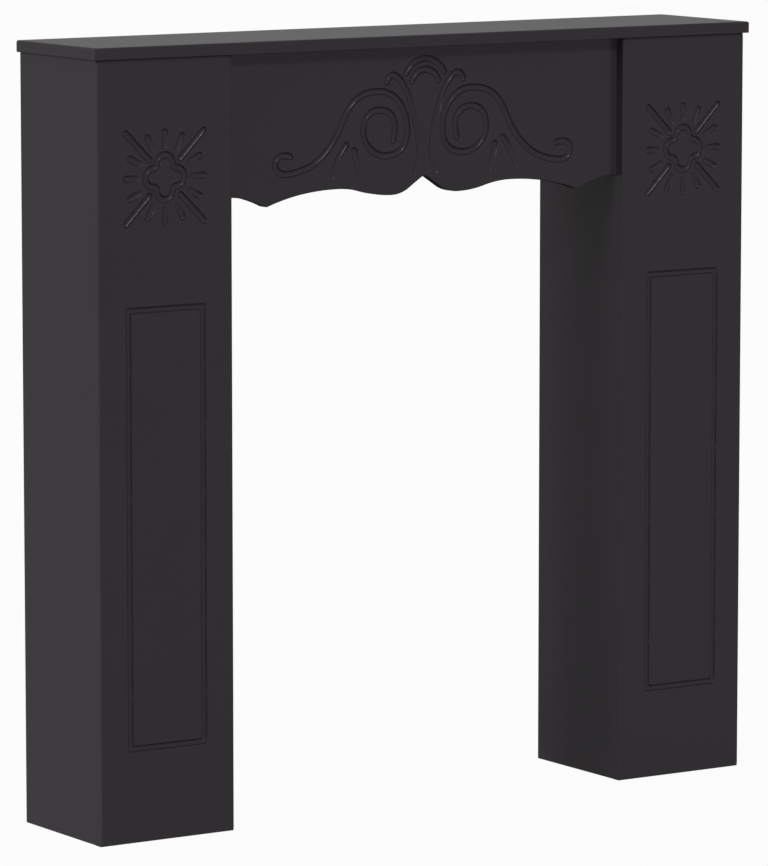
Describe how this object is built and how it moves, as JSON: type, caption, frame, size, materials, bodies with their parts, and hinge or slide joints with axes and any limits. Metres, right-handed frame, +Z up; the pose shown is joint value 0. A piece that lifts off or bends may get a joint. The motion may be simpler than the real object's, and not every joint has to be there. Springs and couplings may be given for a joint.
{
  "type": "fireplace surround",
  "caption": "Free-standing mantel surround with box pilasters, a scalloped carved header and a flat shelf, painted matt charcoal black.",
  "frame": {"origin": "on the floor, at the middle of the surround's width and depth", "axes": "+X to the right seen from the front, +Y to the back (the wall), +Z up"},
  "size_m": [1, 0.195, 1],
  "materials": {
    "charcoal_paint": "matt charcoal-black paint on smooth board",
    "raw_board": "unpainted fibreboard",
    "pine": "planed softwood",
    "beech": "turned hardwood",
    "zinc_steel": "zinc-plated steel"
  },
  "bodies": {
    "root": {"header_panel": "charcoal_paint", "left_front_panel": "charcoal_paint", "left_inner_side": "charcoal_paint", "left_outer_side": "charcoal_paint", "mantel_shelf": "charcoal_paint", "right_front_panel": "charcoal_paint", "right_inner_side": "charcoal_paint", "right_outer_side": "charcoal_paint", "left_base_plate": "raw_board", "left_lower_back_rail": "raw_board", "left_upper_back_rail": "raw_board", "right_base_plate": "raw_board", "right_lower_back_rail": "raw_board", "right_upper_back_rail": "raw_board", "left_glue_blocks": "pine", "left_header_batten": "pine", "right_glue_blocks": "pine", "right_header_batten": "pine", "shelf_batten": "pine", "header_dowels": "beech", "left_base_dowels": "beech", "left_front_dowels": "beech", "left_rail_dowels": "beech", "right_base_dowels": "beech", "right_front_dowels": "beech", "right_rail_dowels": "beech", "shelf_dowels": "beech", "header_batten_screws": "zinc_steel", "left_bracket_screws": "zinc_steel", "left_shelf_brackets": "zinc_steel", "right_bracket_screws": "zinc_steel", "right_shelf_brackets": "zinc_steel", "shelf_batten_screws": "zinc_steel", "wall_bracket_screws": "zinc_steel", "wall_brackets": "zinc_steel"}
  },
  "joints": []
}
